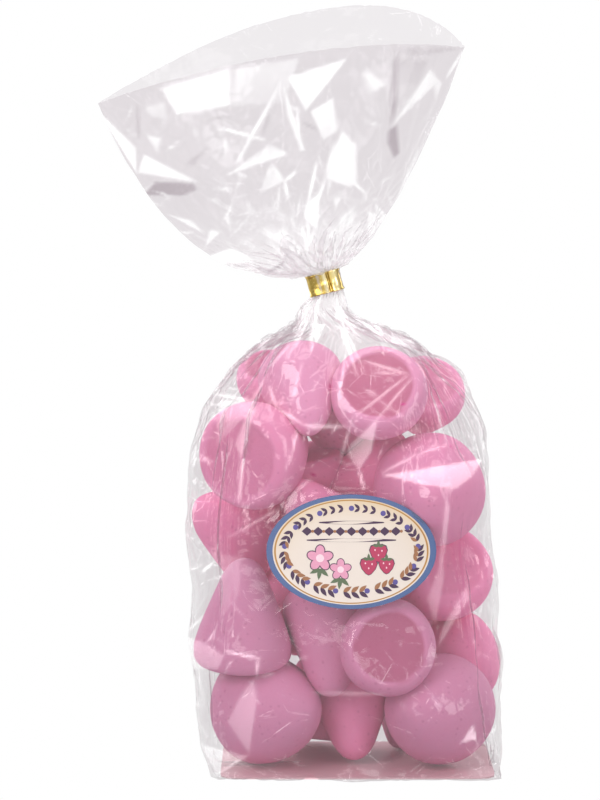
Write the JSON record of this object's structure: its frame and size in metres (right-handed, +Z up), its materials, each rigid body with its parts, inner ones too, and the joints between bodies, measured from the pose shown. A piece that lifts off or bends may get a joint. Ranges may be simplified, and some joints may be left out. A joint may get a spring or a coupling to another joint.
{
  "type": "bag of meringue cookies",
  "caption": "Clear gusseted film bag, flat on its base and filled with pink kiss-shaped meringue cookies, tied at the neck under an open frill, with a plain oval label.",
  "frame": {"origin": "middle of the flat base that the bag stands on", "axes": "+Z up, -Y out of the front with the label, +X to the right seen from the front"},
  "size_m": [0.1532, 0.075, 0.2892],
  "materials": {
    "filled_film": "clear film over pink meringues",
    "clear_film": "clear glossy film",
    "gold_tie": "polished gold",
    "label_paper": "satin paper, cream with a blue border",
    "meringue": "matte baked egg white, pink",
    "base_card": "pale card"
  },
  "bodies": {
    "root": {"bag_body": "filled_film", "bag_frill": "clear_film", "tie_band": "gold_tie", "label": "label_paper"}
  },
  "joints": []
}
